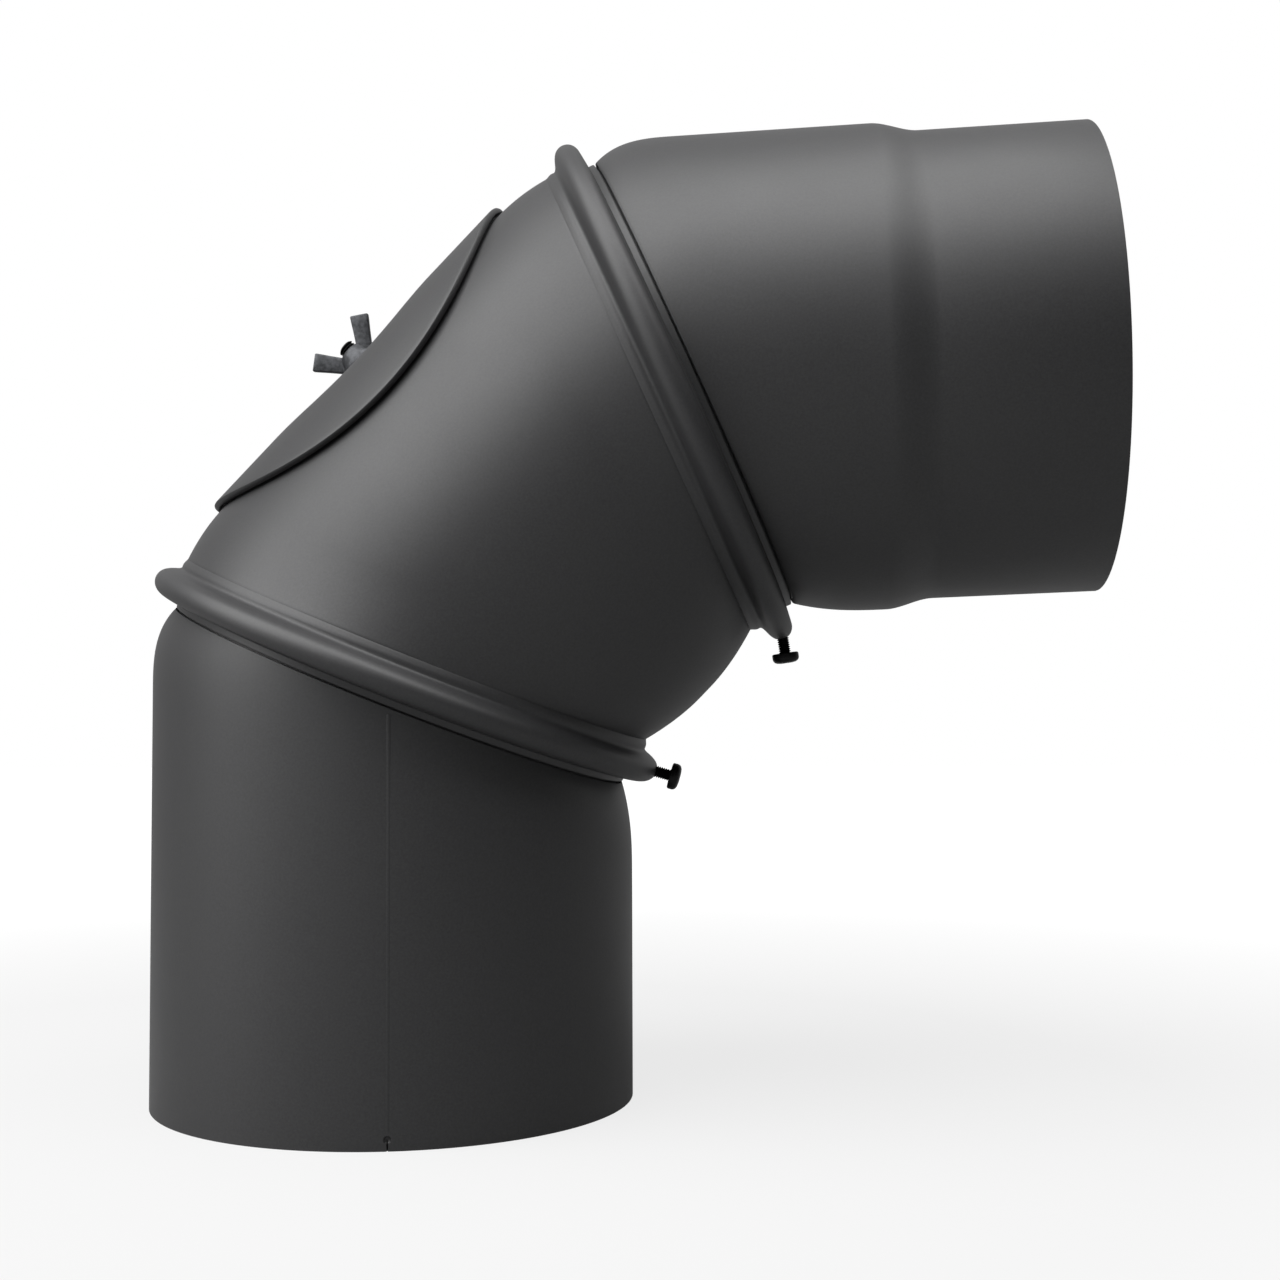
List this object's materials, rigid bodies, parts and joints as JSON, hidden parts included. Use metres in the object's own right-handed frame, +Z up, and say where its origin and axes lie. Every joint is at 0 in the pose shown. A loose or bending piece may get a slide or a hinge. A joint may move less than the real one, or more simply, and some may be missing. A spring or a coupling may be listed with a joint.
{
  "type": "adjustable stove pipe elbow",
  "caption": "Adjustable stove pipe elbow with a cleaning cover: two end pipes turn in the beaded collars of a middle body, from straight to a right-angle bend.",
  "frame": {"origin": "centre of the inlet pipe's bottom rim", "axes": "+Z up the inlet pipe's axis, the elbow bends in the XZ plane with its outlet towards +X"},
  "size_m": [0.3032, 0.173, 0.3101],
  "materials": {
    "coated_steel": "satin heat-resistant coat",
    "cover_steel": "satin heat-resistant coat",
    "gasket": "black glass-fibre felt",
    "bare_steel": "bare mill steel",
    "black_fastener": "blackened steel"
  },
  "bodies": {
    "inlet": {"inlet_pipe": "coated_steel"},
    "middle": {"access_body": "coated_steel", "access_cover": "cover_steel", "cover_gasket": "gasket", "crossbar": "bare_steel", "cover_bolt": "black_fastener", "washer": "black_fastener"},
    "outlet": {"outlet_pipe": "coated_steel"},
    "cover_nut": {"wing_nut": "black_fastener"},
    "lower_lock": {"lower_lock_screw": "black_fastener"},
    "upper_lock": {"upper_lock_screw": "black_fastener"}
  },
  "joints": [
    {"name": "lower_swivel", "type": "hinge", "parent": "inlet", "child": "middle", "pos_m": [0, 0, 0.1242], "axis": [0.3746, 0, 0.9272], "continuous": true},
    {"name": "upper_swivel", "type": "hinge", "parent": "middle", "child": "outlet", "pos_m": [0.10345, 0, 0.23133], "axis": [0.9135, 0, 0.4067], "continuous": true},
    {"name": "wing_nut_turn", "type": "hinge", "parent": "middle", "child": "cover_nut", "pos_m": [0.04585, 0, 0.18344], "axis": [-0.7193, 0, 0.6947], "continuous": true},
    {"name": "lower_lock_turn", "type": "hinge", "parent": "middle", "child": "lower_lock", "pos_m": [0.08526, 0, 0.10431], "axis": [0.9613, 0, -0.2756], "continuous": true},
    {"name": "upper_lock_turn", "type": "hinge", "parent": "middle", "child": "upper_lock", "pos_m": [0.1263, 0, 0.14682], "axis": [0.1392, 0, -0.9903], "continuous": true}
  ]
}
